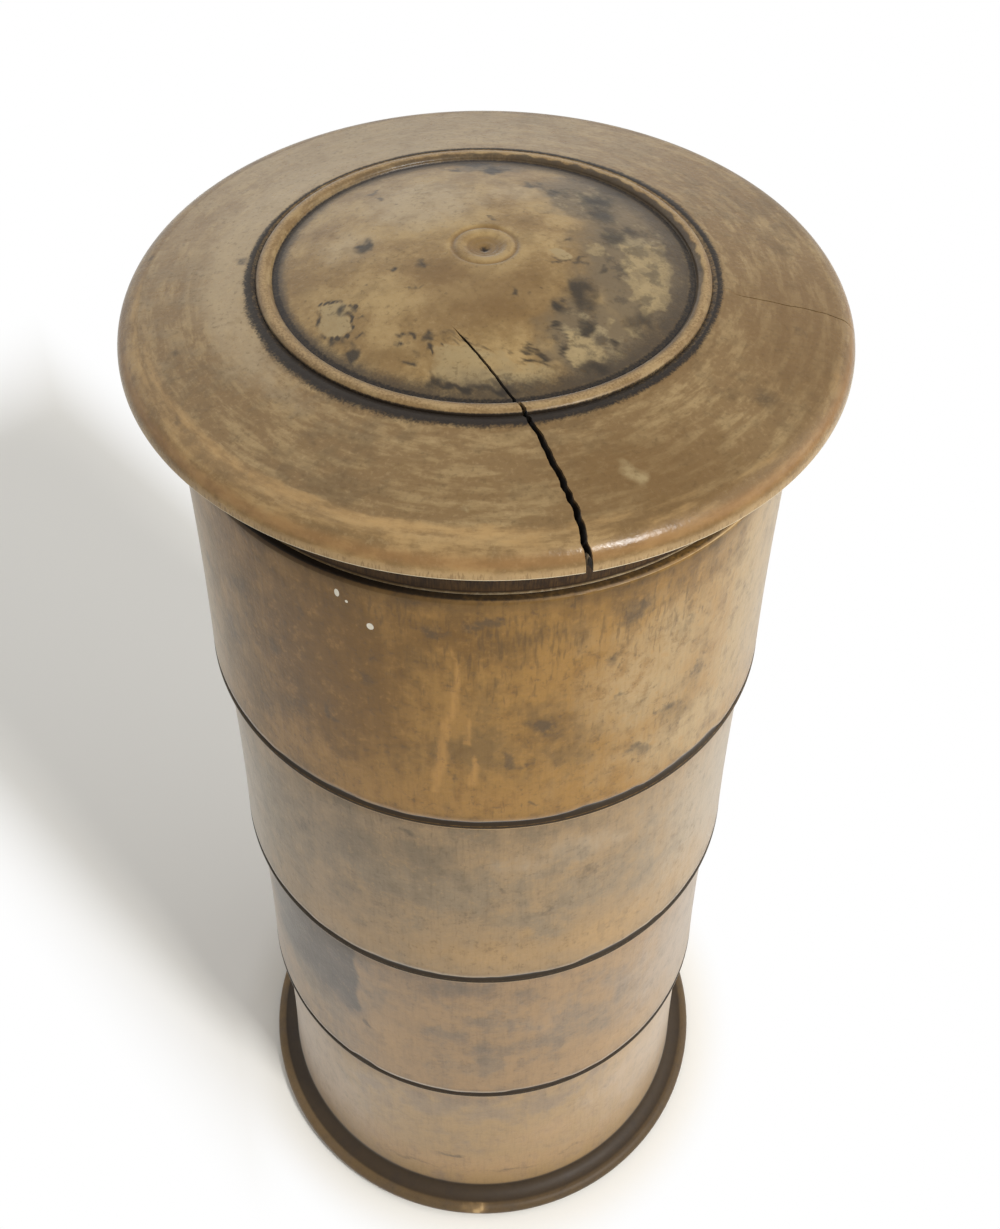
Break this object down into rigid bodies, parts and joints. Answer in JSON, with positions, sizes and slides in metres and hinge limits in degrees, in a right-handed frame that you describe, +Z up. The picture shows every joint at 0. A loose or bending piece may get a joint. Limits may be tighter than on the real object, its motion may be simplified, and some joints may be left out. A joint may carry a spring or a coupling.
{
  "type": "spice tower",
  "caption": "Turned wooden spice tower: round flared boxes that stack on screw necks, closed by a domed lid with a raised ring, on a moulded foot.",
  "frame": {"origin": "centre of the foot on the table", "axes": "+Z up along the turning axis, -Y towards the viewer's side of the picture"},
  "size_m": [0.087, 0.087, 0.1915],
  "materials": {
    "lid_wood": "waxed and worn, dark grime in the grooves",
    "top_box_wood": "waxed and worn",
    "upper_middle_box_wood": "waxed and worn",
    "lower_middle_box_wood": "waxed and worn, with a dark stain",
    "base_box_wood": "waxed and worn, dark grime round the foot"
  },
  "bodies": {
    "base_box": {"base_box": "base_box_wood"},
    "lower_middle_box": {"lower_middle_box": "lower_middle_box_wood"},
    "upper_middle_box": {"upper_middle_box": "upper_middle_box_wood"},
    "top_box": {"top_box": "top_box_wood"},
    "lid": {"lid": "lid_wood"}
  },
  "joints": [
    {"name": "lower_middle_box_lift", "type": "slide", "parent": "base_box", "child": "lower_middle_box", "axis": [0, 0, 1], "range_m": [0, 0.06]},
    {"name": "upper_middle_box_lift", "type": "slide", "parent": "lower_middle_box", "child": "upper_middle_box", "axis": [0, 0, 1], "range_m": [0, 0.06]},
    {"name": "top_box_lift", "type": "slide", "parent": "upper_middle_box", "child": "top_box", "axis": [0, 0, 1], "range_m": [0, 0.06]},
    {"name": "lid_lift", "type": "slide", "parent": "top_box", "child": "lid", "axis": [0, 0, 1], "range_m": [0, 0.06]}
  ]
}
